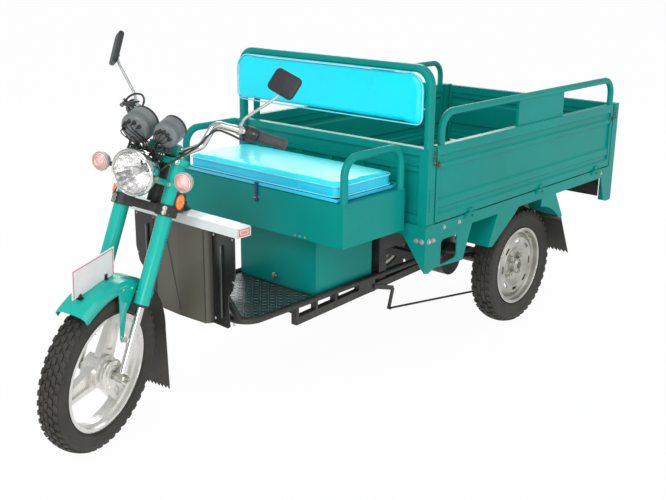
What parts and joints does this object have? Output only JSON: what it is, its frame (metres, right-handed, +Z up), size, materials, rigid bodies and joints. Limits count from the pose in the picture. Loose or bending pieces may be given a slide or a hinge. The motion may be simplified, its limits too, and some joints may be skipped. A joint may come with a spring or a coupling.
{
  "type": "electric cargo tricycle",
  "caption": "Electric cargo tricycle with an open drop-side bed, a bench seat over a battery box and a steered front wheel on a telescopic fork.",
  "frame": {"origin": "on the ground under the middle of the overall box", "axes": "+Z up, the vehicle faces -Y, its own left side is +X"},
  "size_m": [0.913, 2.6143, 1.1865],
  "materials": {
    "body_paint": "gloss teal green paint",
    "frame_black": "satin black paint",
    "tyre_rubber": "matt black tread rubber",
    "cast_wheel": "silver painted casting",
    "steel_wheel": "silver painted pressed steel",
    "bright_metal": "bright plated steel",
    "cushion_vinyl": "sky blue vinyl",
    "black_plastic": "moulded black plastic",
    "shield_plastic": "dark grey brown moulded plastic",
    "flap_rubber": "black sheet rubber",
    "signal_lens": "pale amber ribbed lens",
    "plate_white": "blank white plate",
    "lid_board": "dark sheet board under the cushion"
  },
  "bodies": {
    "chassis": {"chassis_frame": "frame_black", "footboard": "frame_black", "leg_shield": "shield_plastic", "shield_bar": "bright_metal", "base_box": "body_paint", "battery_pack": "black_plastic", "seat_box": "body_paint", "armrests": "body_paint", "bed_frame": "body_paint", "corner_plates": "body_paint", "bed_floor": "body_paint", "bed_front_wall": "body_paint", "backrest_frame": "body_paint", "backrest_cushion": "cushion_vinyl", "rear_fenders": "body_paint", "rear_mud_flaps": "flap_rubber", "leaf_springs": "frame_black", "rear_axle": "frame_black", "brake_linkage": "frame_black", "rear_lamp_board": "frame_black"},
    "steering": {"steering_stem": "body_paint", "top_yoke": "body_paint", "fork_tubes": "body_paint", "fork_legs": "bright_metal", "front_axle": "bright_metal", "front_fender": "body_paint", "front_mud_flap": "flap_rubber", "number_plate": "plate_white", "headlight": "bright_metal", "turn_signals": "signal_lens", "gauges": "black_plastic", "handlebar": "bright_metal", "grips": "black_plastic", "mirrors": "black_plastic", "control_cables": "black_plastic"},
    "front_wheel": {"front_tyre": "tyre_rubber", "front_rim": "cast_wheel"},
    "rear_wheel_left": {"rear_tyre_left": "tyre_rubber", "rear_rim_left": "steel_wheel"},
    "rear_wheel_right": {"rear_tyre_right": "tyre_rubber", "rear_rim_right": "steel_wheel"},
    "seat_cover": {"seat_lid": "lid_board", "seat_cushion": "cushion_vinyl"},
    "battery_door": {"base_box_door": "body_paint"},
    "left_side_gate": {"side_board_left": "body_paint"},
    "right_side_gate": {"side_board_right": "body_paint"},
    "tail_gate": {"tailgate": "body_paint"}
  },
  "joints": [
    {"name": "steer", "type": "hinge", "parent": "chassis", "child": "steering", "pos_m": [0, -1.02547, 0.22719], "axis": [0, 0.3795, 0.9252], "range_deg": [-62, 22]},
    {"name": "front_wheel_spin", "type": "hinge", "parent": "steering", "child": "front_wheel", "pos_m": [0.01768, -1.07041, 0.24562], "axis": [0.9397, 0.3164, -0.1298], "continuous": true},
    {"name": "rear_wheel_left_spin", "type": "hinge", "parent": "chassis", "child": "rear_wheel_left", "pos_m": [0.343, 0.6687, 0.2336], "axis": [1, 0, 0], "continuous": true},
    {"name": "rear_wheel_right_spin", "type": "hinge", "parent": "chassis", "child": "rear_wheel_right", "pos_m": [-0.343, 0.6687, 0.2336], "axis": [1, 0, 0], "continuous": true},
    {"name": "seat_lid_lift", "type": "hinge", "parent": "chassis", "child": "seat_cover", "pos_m": [0, -0.1043, 0.6905], "axis": [-1, 0, 0], "range_deg": [0, 65]},
    {"name": "battery_door_lift", "type": "hinge", "parent": "chassis", "child": "battery_door", "pos_m": [0, -0.3198, 0.527], "axis": [-1, 0, 0], "range_deg": [0, 80]},
    {"name": "left_side_drop", "type": "hinge", "parent": "chassis", "child": "left_side_gate", "pos_m": [0.451, 0.6687, 0.556], "axis": [0, 1, 0], "range_deg": [0, 178]},
    {"name": "right_side_drop", "type": "hinge", "parent": "chassis", "child": "right_side_gate", "pos_m": [-0.451, 0.6687, 0.556], "axis": [0, -1, 0], "range_deg": [0, 178]},
    {"name": "tailgate_drop", "type": "hinge", "parent": "chassis", "child": "tail_gate", "pos_m": [0, 1.3017, 0.556], "axis": [-1, 0, 0], "range_deg": [0, 178]}
  ]
}
